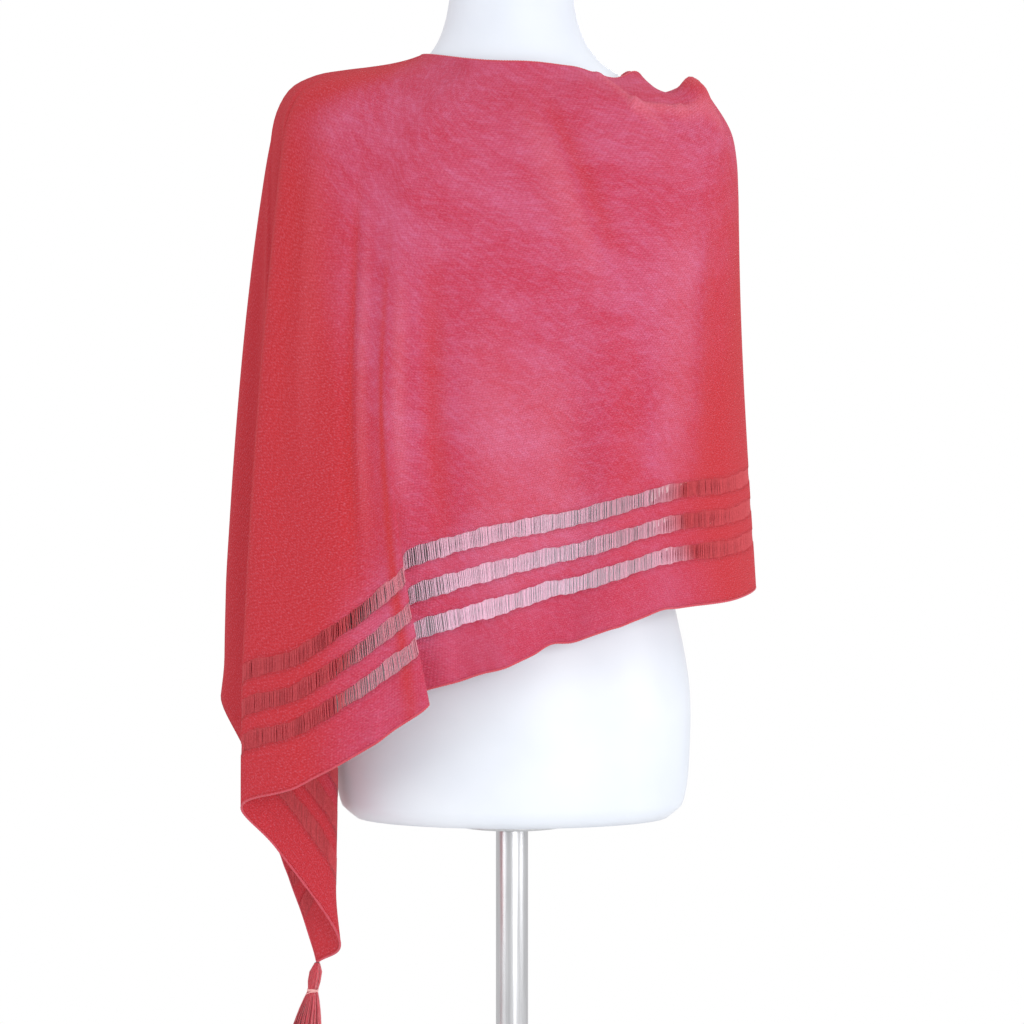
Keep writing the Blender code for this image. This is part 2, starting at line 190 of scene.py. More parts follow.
# ---- Knitted panel ----
# One rectangle of fine heathered yarn, 1.15 m by 0.55 m, machine knitted in stocking stitch and
# brushed a little. Its short end is linked to the inner long edge, so it hangs with one seam at
# the back, a neck loop, a pointed corner and an openwork border along the outer long edge.

PANEL_LONG = 1.15
PANEL_WIDE = 0.55
NECK_LOOP = 0.60
HEM_BORDER = 0.038
STRIPE_HIGH = 0.013
STRIPE_PITCH = 0.0265
STRIPES = 3
KNIT_WALL = 0.0016
SEAM_GAP = 0.0003
CLOTH_CLEAR = 0.0008

# Rows of the guide: over the shoulders, down the fall, and down the openwork border. The border
# starts a little above the top stripe.
RING_ROWS = 2
FALL_ROWS = 7
BORDER_ROWS = 4
ABOVE_STRIPES = 0.0012
SMOOTH_PASSES = 3
# Powers by which the fall spreads out to the hem and the pleat opens, and where the pleat starts.
FALL_EASE = 1.25
PLEAT_EASE = 1.5
PLEAT_FROM_SHARE = 0.30
# A fold runs out over this many times its length. Ridges and gathers rise from the foot height up.
FOLD_TAPER = 1.5
RIDGE_FOOT_Z = 1.30
RIDGE_FADE = 0.06

CLOTH_RINGS = np.array(
    [
        # left, right, front, back, z_left, z_right, z_front, z_back
        (0.079, 0.118, 0.062, 0.066, 1.419, 1.380, 1.405, 1.422),
        (0.096, 0.134, 0.069, 0.074, 1.412, 1.383, 1.389, 1.408),
        (0.145, 0.158, 0.086, 0.087, 1.405, 1.384, 1.364, 1.383),
        (0.200, 0.186, 0.105, 0.107, 1.401, 1.369, 1.322, 1.344),
        (0.209, 0.196, 0.124, 0.120, 1.352, 1.340, 1.255, 1.282),
    ]
)
STATIONS = [
    # name, direction_deg, hem_x, hem_y, hem_z, hang, columns to the next station
    ("seam, stripe side", 93, 0.0100, 0.1500, 0.8760, 1.05, 12),
    ("back, right of seam", 68, 0.0830, 0.1560, 0.9080, 1.05, 12),
    ("back right", 42, 0.1480, 0.1220, 0.9560, 1.03, 12),
    ("right, behind", 18, 0.1960, 0.0630, 0.9710, 1.00, 12),
    ("right side", -4, 0.2110, -0.0050, 0.9600, 1.00, 12),
    ("right, in front", -24, 0.1850, -0.0680, 0.9500, 1.00, 12),
    ("front right", -44, 0.1370, -0.1150, 0.9450, 1.00, 14),
    ("front, ripple out", -62, 0.0920, -0.1440, 0.9340, 1.00, 14),
    ("front, ripple in", -76, 0.0530, -0.1400, 0.9190, 1.03, 14),
    ("front, middle", -91, -0.0040, -0.1520, 0.9040, 1.09, 16),
    ("beside the pleat", -107, -0.0830, -0.1530, 0.8870, 1.12, 24),
    ("pleat, under", -115, -0.1090, -0.1535, 0.8770, 1.11, 24),
    ("pleat, edge", -118.5, -0.1200, -0.1540, 0.8665, 1.09, 18),
    ("pleat, outer", -123, -0.1390, -0.1540, 0.8480, 1.10, 14),
    ("front left", -130, -0.1500, -0.1490, 0.8290, 1.09, 14),
    ("left, in front", -142, -0.1800, -0.1320, 0.7990, 1.09, 16),
    ("left ridge", -155, -0.2222, -0.1000, 0.7800, 1.12, 16),
    ("behind the ridge", -162, -0.1950, -0.0840, 0.7410, 1.25, 16),
    ("inner fold", -167, -0.1460, -0.0610, 0.6640, 1.40, 16),
    ("point", -171, -0.1666, -0.0300, 0.6380, 1.42, 16),
    ("above the point", -176, -0.2035, -0.0080, 0.7380, 1.20, 14),
    ("short edge, rising", -181, -0.2310, 0.0200, 0.8090, 1.10, 14),
    ("far left fold", -189, -0.2560, 0.0550, 0.8660, 1.00, 14),
    ("back left", -214, -0.1900, 0.1260, 0.8680, 1.00, 12),
    ("back, left of seam", -244, -0.0850, 0.1520, 0.8760, 1.00, 12),
    ("seam, plain side", -267, 0.0100, 0.1500, 0.8760, 1.05, 0),
]
POINT_STATION = 19
LAST_STATION = len(STATIONS) - 1
PLEAT_SHIFTS = [
    # station, shift_x, shift_y
    (9, 0.0100, 0.0000),
    (10, 0.0410, 0.0080),
    (11, 0.0350, 0.0120),
    (12, 0.0510, -0.0050),
    (13, 0.0440, 0.0000),
    (14, 0.0280, 0.0000),
    (15, 0.0060, 0.0000),
]
FOLDS = [
    # station, stand_off, half_width, from_share, to_share
    (0.0, 0.005, 0.6, 0.05, 1.10),
    (1.1, -0.008, 0.6, 0.20, 0.95),
    (2.1, 0.014, 0.7, 0.20, 1.00),
    (7.4, 0.006, 0.9, 0.35, 1.00),
    (8.6, -0.005, 0.8, 0.35, 0.95),
    (11.6, 0.006, 0.9, 0.20, 0.80),
    (14.4, 0.006, 0.8, 0.20, 0.90),
    (16.0, 0.014, 0.9, 0.05, 0.85),
    (18.3, -0.024, 1.1, 0.00, 0.74),
    (4.4, -0.004, 1.2, 0.10, 0.80),
    (22.0, 0.014, 0.9, 0.00, 0.75),
    (23.2, -0.006, 0.6, 0.10, 0.90),
    (24.1, 0.010, 0.4, 0.25, 1.00),
    (25.0, 0.005, 0.6, 0.05, 1.10),
]
SHOULDER_RIDGES = [
    # x0, y0, x1, y1, rise, half_width
    (0.104, 0.030, 0.101, -0.020, 0.022, 0.017),
    (0.160, 0.045, 0.158, -0.030, 0.018, 0.012),
    (0.060, -0.070, 0.125, -0.085, 0.006, 0.012),
]
# Small soft creases that only show close up, drawn on the panel from one place to another. They
# run out past both ends. Drop is the distance down from the neck edge, a trough has a depth above
# zero, and shading above zero is painted shade that darkens the yarn there, while below zero it is
# a painted highlight that makes it paler. Neighbouring stations are taken to be as far apart as the
# gap at the neck edge, plus the widening times the crease's lower drop.
CREASE_RUN_OUT = 0.3
STATION_GAP = 0.016
STATION_WIDENING = 0.06
CREASES = [
    # station0, drop0, station1, drop1, depth, shading, half_width
    (8.30, 0.030, 7.10, 0.190, 0.0040, 0.75, 0.0066),
    (8.62, 0.040, 7.50, 0.210, -0.0020, -0.5, 0.0110),
    (13.75, 0.150, 13.80, 0.490, 0.0036, 1.1, 0.0090),
    (13.25, 0.180, 13.30, 0.450, -0.0016, -0.4, 0.0120),
    (12.00, 0.200, 12.60, 0.640, 0.0000, 1.3, 0.0110),
    (10.05, 0.190, 9.95, 0.440, 0.0028, 0.8, 0.0100),
    (11.00, 0.210, 10.95, 0.400, -0.0016, -0.5, 0.0120),
    (9.20, 0.230, 9.10, 0.480, -0.0014, -0.4, 0.0180),
    (5.20, 0.150, 5.40, 0.400, 0.0034, 0.6, 0.0120),
    (5.90, 0.120, 6.20, 0.380, -0.0020, -0.4, 0.0160),
    (7.00, 0.250, 6.90, 0.470, 0.0022, 0.4, 0.0150),
    (6.40, 0.060, 5.60, 0.150, 0.0024, 0.3, 0.0090),
    (8.40, 0.260, 8.30, 0.440, -0.0010, -0.5, 0.0200),
    (14.90, 0.100, 15.00, 0.400, -0.0018, -0.2, 0.0140),
    (15.50, 0.120, 15.40, 0.520, 0.0018, 0.4, 0.0120),
    (16.90, 0.090, 17.10, 0.420, 0.0030, 0.8, 0.0100),
    (20.40, 0.120, 20.60, 0.420, -0.0024, 0.0, 0.0100),
    (1.40, 0.060, 2.00, 0.240, 0.0034, 0.8, 0.0120),
    (2.60, 0.060, 2.90, 0.300, -0.0024, -0.2, 0.0120),
    (0.55, 0.150, 0.80, 0.430, -0.0022, -0.2, 0.0120),
    (23.60, 0.050, 24.20, 0.260, 0.0034, 0.8, 0.0130),
    (22.90, 0.110, 23.40, 0.420, -0.0026, -0.2, 0.0140),
    (24.50, 0.180, 24.60, 0.460, 0.0024, 0.5, 0.0120),
]
# Ripples of the hem: how far each one swings the cloth out or in within its reach above the hem.
RIPPLE_EASE = 1.5
HEM_RIPPLES = [
    # station, swing, rise, half_width, reach
    (5.25, -0.0020, 0.0000, 0.22, 0.09),
    (6.35, 0.0030, 0.0024, 0.24, 0.09),
    (7.05, -0.0034, -0.0010, 0.22, 0.10),
    (7.75, 0.0026, 0.0000, 0.20, 0.10),
    (8.45, -0.0034, 0.0046, 0.24, 0.11),
    (9.25, 0.0034, -0.0026, 0.26, 0.10),
    (9.95, -0.0020, 0.0000, 0.20, 0.08),
    (13.60, 0.0024, -0.0010, 0.25, 0.08),
    (14.80, -0.0026, 0.0016, 0.24, 0.09),
    (3.70, -0.0034, 0.0010, 0.28, 0.10),
    (2.50, 0.0040, -0.0020, 0.28, 0.11),
    (1.60, -0.0040, 0.0024, 0.26, 0.11),
    (0.70, 0.0034, -0.0016, 0.26, 0.10),
    (23.30, 0.0040, -0.0016, 0.22, 0.12),
    (23.90, -0.0040, 0.0020, 0.20, 0.12),
    (24.50, 0.0034, -0.0012, 0.20, 0.10),
]
# Sharp little gathers on the right shoulder, where the neck's spare width is pushed aside. Each
# gets a painted highlight on its rise: one that rises by the height given here is painted as much
# paler as a crease of shading 1 is darkened by painted shade.
GATHER_HIGHLIGHT_RISE = 0.0045
GATHERS = [
    # x0, y0, x1, y1, rise, half_width
    (0.0740, -0.0520, 0.1020, -0.0715, 0.0036, 0.0036),
    (0.1040, -0.0722, 0.1290, -0.0735, 0.0030, 0.0036),
    (0.1040, -0.0715, 0.1420, -0.0560, 0.0042, 0.0036),
    (0.1440, -0.0550, 0.1760, -0.0335, 0.0042, 0.0040),
    (0.1350, -0.0100, 0.1640, -0.0300, 0.0030, 0.0050),
    (0.0900, 0.0500, 0.1450, 0.0600, 0.0045, 0.0070),
]


def along_stations(table, at):
    """Cubic curve through a table with one row for each station."""
    table = np.asarray(table, float)
    return along_knots(table, np.arange(len(table), dtype=float), at)


def hang_at(stations):
    """How far a hung column runs for each metre up the flat panel, because it lies aslant."""
    return along_stations([row[5:6] for row in STATIONS], stations)[:, 0]


def eased(share):
    """Three squares less two cubes of a share, which is level at 0 and at 1."""
    return share * share * (3 - 2 * share)


def hem_line(stations):
    """The hem's points: one smooth run in plan, and heights that meet in a corner at the point."""
    hem = along_stations([row[2:5] for row in STATIONS], stations)
    heights = [row[4:5] for row in STATIONS]
    long_edge = along_stations(heights[: POINT_STATION + 1], stations)[:, 0]
    short_edge = along_stations(heights[POINT_STATION:], stations - POINT_STATION)[:, 0]
    hem[:, 2] = np.where(stations <= POINT_STATION, long_edge, short_edge)
    return hem


def over_the_shoulders(stations):
    """Rings from the neck edge to the free fall: half ellipses, with heights mixed by direction."""
    direction = np.radians(along_stations([row[1:2] for row in STATIONS], stations)[:, 0])
    cosine, sine = np.cos(direction), np.sin(direction)
    last = len(CLOTH_RINGS) - 1
    rings = along_stations(CLOTH_RINGS, np.linspace(0, last, last * RING_ROWS + 1)).T[:, :, None]
    left, right, front, back, z_left, z_right, z_front, z_back = rings
    x = np.where(cosine > 0, right, left) * cosine
    y = np.where(sine < 0, front, back) * sine
    z_aside = np.where(cosine > 0, z_right, z_left)
    z_ahead = np.where(sine < 0, z_front, z_back)
    return np.stack([x, y, z_aside * cosine**2 + z_ahead * sine**2], 2)


def lifts(points, lines):
    """How far points rise: a bell shape across each line in plan, on top of the shoulders only."""
    rise = np.zeros(points.shape[:2])
    for x0, y0, x1, y1, high, half_width in lines:
        start, along = np.array([x0, y0]), np.array([x1 - x0, y1 - y0])
        share = np.clip((points[:, :, :2] - start) @ along / (along @ along), 0, 1)
        off = np.linalg.norm(points[:, :, :2] - start - share[:, :, None] * along, axis=2)
        rise += high * np.exp(-((off / half_width) ** 2))
    return rise * np.clip((points[:, :, 2] - RIDGE_FOOT_Z) / RIDGE_FADE, 0, 1)


def fall_to_hem(stations, last_ring, hem, share):
    """Points at one share of the way down from the last ring to the hem. In plan they spread out by
    a power of the share. Folds push them outward by a bell shape across and a cosine down their
    length, and the pleat's shifts grow from where it starts to open."""
    outward = last_ring[:, :2] / np.linalg.norm(last_ring[:, :2], axis=1)[:, None]
    shifts = np.zeros((len(STATIONS), 2))
    for station, shift_x, shift_y in PLEAT_SHIFTS:
        shifts[station] = shift_x, shift_y
    pleat = along_stations(shifts, stations)
    push = np.zeros(len(stations))
    for station, stand_off, half_width, start, end in FOLDS:
        middle, half = (start + end) / 2, (end - start) / 2
        beside = min(1.0, abs(share.mean() - middle) / (half * FOLD_TAPER))
        across = np.exp(-(((stations - station) / half_width) ** 2))
        push += stand_off * np.cos(beside * np.pi / 2) * across
    ease = (share**FALL_EASE)[:, None]
    plan = last_ring[:, :2] * (1 - ease) + hem[:, :2] * ease + outward * push[:, None]
    opened = np.clip((share - PLEAT_FROM_SHARE) / (1 - PLEAT_FROM_SHARE), 0, 1) ** PLEAT_EASE
    height = last_ring[:, 2] * (1 - share) + hem[:, 2] * share
    return np.column_stack([plan + pleat * opened[:, None], height])


def panel_guide(stations):
    """Rows of points down the panel at the given stations, from the neck edge to the hem. Above the
    border each row is then averaged with its neighbours, and the shoulder ridges rise."""
    rings = over_the_shoulders(stations)
    hem = hem_line(stations)
    length = np.linalg.norm(hem - rings[-1], axis=1)
    border = HEM_BORDER + (STRIPES - 1) * STRIPE_PITCH + STRIPE_HIGH + ABOVE_STRIPES
    first = 1 - border * hang_at(stations) / length
    shares = [first * step / (FALL_ROWS + 1) for step in range(1, FALL_ROWS + 1)]
    shares += [first + (1 - first) * step / BORDER_ROWS for step in range(BORDER_ROWS + 1)]
    fall = [fall_to_hem(stations, rings[-1], hem, share) for share in shares]
    rows = np.concatenate([rings, fall])
    plain = len(rows) - BORDER_ROWS - 1
    for _ in range(SMOOTH_PASSES):
        rows[1:plain] = (rows[: plain - 1] + 2 * rows[1:plain] + rows[2 : plain + 1]) / 4
    rows[:, :, 2] += lifts(rows, SHOULDER_RIDGES)
    return rows


def down_the_panel(guide, down):
    """Points at the given distances down each column, along a cubic curve through the guide's rows
    whose slopes are the means of the two steps that meet there."""
    steps = np.linalg.norm(np.diff(guide, axis=0), axis=2)
    knots = np.concatenate([np.zeros((1, guide.shape[1])), np.cumsum(steps, 0)])
    down = np.clip(down, 0, knots[-1])
    rises = np.diff(guide, axis=0) / steps[:, :, None]
    slopes = np.concatenate([rises[:1], (rises[:-1] + rises[1:]) / 2, rises[-1:]])
    low = np.clip((knots[:, None, :] <= down).sum(0) - 1, 0, len(knots) - 2)
    column = np.broadcast_to(np.arange(guide.shape[1]), low.shape)
    span = steps[low, column][:, :, None]
    t = ((down - knots[low, column]) / steps[low, column])[:, :, None]
    first, first_slope = guide[low, column], slopes[low, column]
    last, last_slope = guide[low + 1, column], slopes[low + 1, column]
    return cubic_between(t, span, first, first_slope, last, last_slope)


def beyond_form(places):
    """How far places lie beyond the form, as a share of its size there: the root of its ellipse's
    equation at that height, less one."""
    size = form_size(np.clip(places[:, 2], FORM_FOOT, FORM_TOP))
    deep = np.where(places[:, 1] < 0, size[:, 1], size[:, 2])
    return np.hypot(places[:, 0] / size[:, 0], places[:, 1] / deep) - 1


def off_the_form(points):
    """Moves points that are nearer to the form than the clearance outward, four times over. The
    distance is the share beyond the form over its steepness, and the way out is the steepest."""
    step, furthest = 0.0005, 0.02
    for _ in range(4):
        flat = points.reshape(-1, 3)
        here = beyond_form(flat)
        slope = np.stack([(beyond_form(flat + way) - here) / step for way in np.eye(3) * step], 1)
        steep = np.linalg.norm(slope, axis=1)
        lack = np.clip(CLOTH_CLEAR - here / steep, 0, furthest)
        points = (flat + slope / steep[:, None] * lack[:, None]).reshape(points.shape)
    return points


def outward_normals(points):
    """Unit normals of a grid of points, along the panel crossed with down the panel."""
    normals = np.cross(np.gradient(points, axis=1), np.gradient(points, axis=0))
    return normals / np.maximum(np.linalg.norm(normals, axis=2), 1e-9)[:, :, None]


columns = [station + np.arange(row[6]) / row[6] for station, row in enumerate(STATIONS) if row[6]]
all_stations = np.append(np.concatenate(columns), LAST_STATION)
long_edge_at = np.linspace(0, POINT_STATION, 800)
short_edge_at = np.linspace(POINT_STATION, LAST_STATION, 400)
long_run = np.linalg.norm(np.diff(hem_line(long_edge_at), axis=0), axis=1)
short_run = np.linalg.norm(np.diff(hem_line(short_edge_at), axis=0), axis=1)


def place_in_panel(stations):
    """Where each column meets the neck edge, the long edge and the short edge of the flat panel,
    shared out evenly by station along the first and by the hung hem's length along the others."""
    long_at = np.interp(stations, long_edge_at, np.append(0, np.cumsum(long_run)))
    short_at = np.interp(stations, short_edge_at, np.append(0, np.cumsum(short_run)))
    along = long_at / long_run.sum() * PANEL_LONG
    up = short_at / short_run.sum() * PANEL_WIDE
    return stations / LAST_STATION * NECK_LOOP, along, up


def edge_wave(flat_along):
    """Small unevenness of a stripe's edge along the panel: three sine waves added up, each with its
    height, length and phase."""
    waves = [(0.00030, 0.0093, 0.0), (0.00040, 0.0237, 1.7), (0.00045, 0.0613, 0.6)]
    height, length, phase = np.array(waves).T
    return (height * np.sin(flat_along[:, None] * 2 * np.pi / length + phase)).sum(1)


def creases(stations, down):
    """How far the small creases push each point in, and how much painted shade they give its
    colour, with a painted highlight where that is below zero: each is a bell shape across its line,
    and a level-ended rise and fall along it."""
    pushed_in, painted_shading = np.zeros(down.shape), np.zeros(down.shape)
    for station0, drop0, station1, drop1, depth, shading, half_width in CREASES:
        along = (down - drop0) / (drop1 - drop0)
        along = np.clip(along, -CREASE_RUN_OUT, 1 + CREASE_RUN_OUT)
        middle = station0 + (station1 - station0) * along
        gap = drop1 * STATION_WIDENING + STATION_GAP
        across = np.exp(-(((stations - middle) * gap / half_width) ** 2))
        fade = eased(np.clip(1 + CREASE_RUN_OUT - np.abs(along - 0.5) * 2, 0, 1))
        pushed_in += depth * across * fade
        painted_shading += shading * across * fade
    return pushed_in, painted_shading


def panel_points(stations, from_hem_low, from_hem_high, rows, crowd=1.0, waved=False):
    """A grid on the hung panel between two lines parallel to its long edge, or up to the neck edge
    where the high line is None. Past the point the short edge cuts the lines off. Rows crowd
    towards the top by a power. It also gives the grid's places on the flat rectangle, and the
    painted shade of the creases at each point, with the painted highlight of ridges and gathers
    below zero."""
    guide = panel_guide(stations)
    drop = np.linalg.norm(np.diff(guide, axis=0), axis=2).sum(0)
    neck_at, along, up = place_in_panel(stations)
    hang = hang_at(stations)
    wave = edge_wave(along + up) if waved else 0.0
    low = np.maximum(from_hem_low + wave * (from_hem_low > 0), up) - up
    if from_hem_high is None:
        high = drop / hang
    else:
        high = np.maximum(from_hem_high - wave, up) - up
    share = np.linspace(0, 1, rows)[:, None] ** crowd
    up_from_hem = (high + (low - high) * share) * hang
    down = drop - up_from_hem
    points = down_the_panel(guide, down)
    normals = outward_normals(points)
    pushed_in, painted_shading = creases(stations, down)
    relief = -pushed_in
    for station, swing, rise, half_width, reach in HEM_RIPPLES:
        across = np.exp(-(((stations - station) / half_width) ** 2))
        ripple = across * np.clip(1 - up_from_hem / reach, 0, 1) ** RIPPLE_EASE
        relief += swing * ripple
        points[:, :, 2] += rise * ripple
    points = points + normals * relief[:, :, None]
    gathered = lifts(points, GATHERS)
    points[:, :, 2] += gathered
    part_down = down / drop
    flat_u = neck_at * (1 - part_down) + along * part_down
    flat_v = PANEL_WIDE * (1 - part_down) + up * part_down
    flat = np.stack([flat_u, flat_v], 2)
    # The last value is painted shading: shade in crease troughs, highlight on ridges and gathers.
    return off_the_form(points), flat, painted_shading - gathered / GATHER_HIGHLIGHT_RISE


def stations_to(line):
    """The panel's columns up to where a line parallel to the long edge runs out at the short edge,
    with one more between each two. The last one stops just short of the edge."""
    stop_short, least_gap = 0.0008, 0.01
    last = np.interp(line - stop_short, place_in_panel(short_edge_at)[2], short_edge_at)
    halved = np.sort(np.append(all_stations, (all_stations[1:] + all_stations[:-1]) / 2))
    return np.append(halved[halved < last - least_gap], last)


stripe_lows = [HEM_BORDER + index * STRIPE_PITCH for index in range(STRIPES)]
patches = [
    # low line, high line, rows, crowding of rows towards the top, stations
    (stripe_lows[2] + STRIPE_HIGH, None, 92, 1.25, all_stations),
    (stripe_lows[1] + STRIPE_HIGH, stripe_lows[2], 4, 1.0, stations_to(stripe_lows[2])),
    (stripe_lows[0] + STRIPE_HIGH, stripe_lows[1], 4, 1.0, stations_to(stripe_lows[1])),
    (0.0, stripe_lows[0], 8, 1.0, stations_to(stripe_lows[0])),
]
built, first = [], 0
for low, high, rows, crowd, stations in patches:
    points, flat, tone = panel_points(stations, low, high, rows, crowd, True)
    points[:, 0, 0] += SEAM_GAP / 2
    if stations[-1] == LAST_STATION:
        points[:, -1, 0] -= SEAM_GAP / 2
    built.append((points, flat, tone, grid_faces(*points.shape[:2], False) + first))
    first += points.shape[0] * points.shape[1]
panel_places = np.concatenate([points.reshape(-1, 3) for points, _, _, _ in built])
panel_flat = np.concatenate([flat.reshape(-1, 2) for _, flat, _, _ in built])
panel_shading = np.concatenate([tone.ravel() for _, _, tone, _ in built])
panel_faces = np.concatenate([faces for _, _, _, faces in built])

# The lit white form seen through the sheer knit is painted into the colour of the knit and of the
# floats, as painted light. It fades out over these widths at the form's sides and foot, and shows a
# little further round on the side that the light comes from.
LIT_ASIDE = 0.014
SIDE_FADE = 0.060
FOOT_FADE = 0.050


def form_behind(places):
    """How much of the lit form is painted as showing through at each place, from 0 to 1: an eased
    share of the way in from its side, times one that falls in a straight line as the cloth hangs
    further off it, times one that rises in a straight line above its foot."""
    half_width = form_size(np.clip(places[:, 2], FORM_FOOT, FORM_TOP))[:, 0]
    inside = (half_width - np.abs(places[:, 0] - LIT_ASIDE)) / SIDE_FADE + 0.55
    near = np.clip(1.5 - beyond_form(places) * 1.1, 0.3, 1)
    above = np.clip((places[:, 2] - (FORM_FOOT - 0.010)) / FOOT_FADE, 0, 1)
    return eased(np.clip(inside, 0, 1)) * near * above


knit, shader, tree, add = new_material("red_knit", (0.50, 0.04, 0.06), 0.92)


def sums(operation, first, second=0.0, third=0.0):
    """One Math node's result, for short sums in the knit's pattern."""
    node = add("Math", _0=first, _1=second, _2=third)
    node.operation = operation
    return node.outputs[0]


def blend(share, one, other):
    """Mixes two colours by a share from 0 to 1."""
    return add("MixRGB", Fac=share, Color1=one, Color2=other).outputs[0]


def spread_out(value, low, high, to_low=0.0, to_high=1.0):
    """Stretches values from low to high over a new range, and holds those beyond at its ends."""
    return add("MapRange", Value=value, _1=low, _2=high, _3=to_low, _4=to_high).outputs[0]


def kept_value(name):
    """The number that a piece keeps for each of its points under this name."""
    node = add("Attribute")
    node.attribute_name = name
    return node.outputs["Fac"]


# Stocking stitch: each wale is a column of V shapes. V_SLANT is courses and WALE_SWELL is loop
# heights, both for a metre across the wale, and FUZZ is the fuzz's share in the relief.
WALE_WIDE = 0.0023
COURSE_HIGH = 0.0021
V_SLANT = 450.0
WALE_SWELL = 700.0
FUZZ = 2.6

flat_place = add("UVMap").outputs["UV"]
parts = add("SeparateXYZ", Vector=flat_place)
wale = sums("PINGPONG", parts.outputs["X"], WALE_WIDE / 2)
slanted = sums("MULTIPLY", wale, V_SLANT)
course = sums("MULTIPLY_ADD", parts.outputs["Y"], 1 / COURSE_HIGH, slanted)
loops = sums("SINE", sums("MULTIPLY", course, 2 * np.pi))
ribs = sums("MULTIPLY_ADD", wale, WALE_SWELL, loops)
relief = sums("MULTIPLY_ADD", noise(flat_place, 900.0, 4.0, 0.7), FUZZ, ribs)
bump = add("Bump", Strength=0.45, Distance=0.0005, Height=relief)
tree.links.new(bump.outputs["Normal"], shader.inputs["Normal"])

# Colour: redder where nothing stands behind, pinker over the white form, where the form's light
# seen through the sheer knit is painted in. There the knit is sheer in soft clouds and in thin
# places drawn out along rows and wales, but less so in the dense border.
backing, painted_fold_shading = kept_value("backing"), kept_value("painted_fold_shading")
red = blend(backing, (0.540, 0.034, 0.046, 1), (0.540, 0.050, 0.104, 1))
clouds = spread_out(noise(flat_place, 17.0, 6.0, 0.62), 0.42, 0.66)
along_rows = add("Mapping", Vector=flat_place, Scale=(0.50, 1.0, 1.0)).outputs["Vector"]
along_wales = add("Mapping", Vector=flat_place, Scale=(1.0, 0.35, 1.0)).outputs["Vector"]
thin_places = sums("ADD", noise(along_rows, 250.0, 2.0, 0.6), noise(along_wales, 250.0, 2.0, 0.6))
thin = sums("MULTIPLY", spread_out(thin_places, 0.92, 1.22), 0.24)
above_border = spread_out(parts.outputs["Y"], 0.02, 0.07, 0.55, 1.0)
shown_behind = sums("MULTIPLY", backing, above_border)
sheer = sums("MULTIPLY", shown_behind, sums("MULTIPLY_ADD", clouds, 0.32, thin))
clouded = blend(sheer, red, (0.660, 0.190, 0.360, 1))

# Painted shade darkens the troughs of creases and a painted highlight makes their ridges and the
# gathers paler, as values above and below zero say. All over, the mixed yarn's hairs fleck it paler
# and darker, and painted shade darkens the loops in their dips.
trough = sums("MULTIPLY", spread_out(painted_fold_shading, 0.0, 1.2), 0.85)
trough_shaded = blend(trough, clouded, (0.560, 0.036, 0.042, 1))
ridge = sums("MULTIPLY", spread_out(painted_fold_shading, 0.0, -1.0), 0.42)
ridge_highlighted = blend(ridge, trough_shaded, (0.780, 0.210, 0.270, 1))
hairs = noise(flat_place, 620.0, 3.0, 0.75)
fleck = sums("MULTIPLY", spread_out(hairs, 0.50, 0.72), 0.40)
flecked = blend(fleck, ridge_highlighted, (0.720, 0.240, 0.340, 1))
shadow = sums("MULTIPLY", spread_out(hairs, 0.44, 0.30), 0.40)
speckled = blend(shadow, flecked, (0.300, 0.014, 0.020, 1))
dip_shade = sums("MULTIPLY", spread_out(loops, 0.0, -1.0), 0.22)
shown = blend(dip_shade, speckled, (0.300, 0.014, 0.022, 1))
tree.links.new(shown, shader.inputs["Base Color"])
shader.inputs["Sheen Weight"].default_value = 0.10
shader.inputs["Sheen Roughness"].default_value = 0.5
shader.inputs["Sheen Tint"].default_value = (1.0, 0.45, 0.45, 1)
shader.inputs["Specular IOR Level"].default_value = 0.12


def give_values(piece, name, values):
    """Keeps one number for each point of a piece, which its material reads by name."""
    layer = piece.data.attributes.new(name, "FLOAT", "POINT")
    layer.data.foreach_set("value", values.astype(np.float32))


panel = new_piece("knit_cloth", panel_places, panel_faces, knit)
flat_map = panel.data.uv_layers.new(name="flat")
corner_points = np.empty(len(panel.data.loops), dtype=np.int32)
panel.data.loops.foreach_get("vertex_index", corner_points)
flat_map.data.foreach_set("uv", panel_flat[corner_points].ravel())
# Painted light of the white form behind, where it shows through the knit.
give_values(panel, "backing", form_behind(panel_places))
# Painted shade in crease troughs and painted highlight on ridges and gathers, for the material.
give_values(panel, "painted_fold_shading", np.clip(panel_shading, -1.2, 1.4))
wall = panel.modifiers.new("wall", "SOLIDIFY")
wall.thickness = KNIT_WALL
wall.offset = 1.0
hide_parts("knit_panel")

# ---- Openwork floats ----
# Each stripe is a row of dropped stitches: long single yarns that cross the opening side by side,
# about 1.2 mm apart, leaning a little and drawn together in places. Stretched over the front of
# the form they are thin, and where the cloth hangs slack they are fluffed up.

FLOAT_PITCH = 0.0012
FLOAT_STEPS = 5
FLOAT_SIDES = 4
# How far a yarn's ends reach into the cloth, how far its middle sags in, and how much it leans,
# in spacings. The station step sets the yarns apart past the point.
FLOAT_REACH = 0.0016
FLOAT_SAG = 0.0003
FLOAT_LEAN = 0.8
FLOAT_STATION_STEP = 0.014
# From the pleat on the yarns are slack, so this share less of the form's light comes through.
PLEAT_STATION = 11.0
PLEAT_FADE = 0.4
SLACK_SHADE = 0.36
FLOAT_RADII = np.array(
    [
        # station, radius
        (0, 0.00034),
        (1.2, 0.00038),
        (1.8, 0.00062),
        (3.4, 0.00062),
        (4.2, 0.00050),
        (5.4, 0.00052),
        (6.2, 0.00050),
        (6.8, 0.00038),
        (8, 0.00034),
        (10, 0.00033),
        (11, 0.00036),
        (11.4, 0.00050),
        (14, 0.00050),
        (16, 0.00054),
        (16.8, 0.00074),
        (21, 0.00074),
        (25, 0.00036),
    ]
)

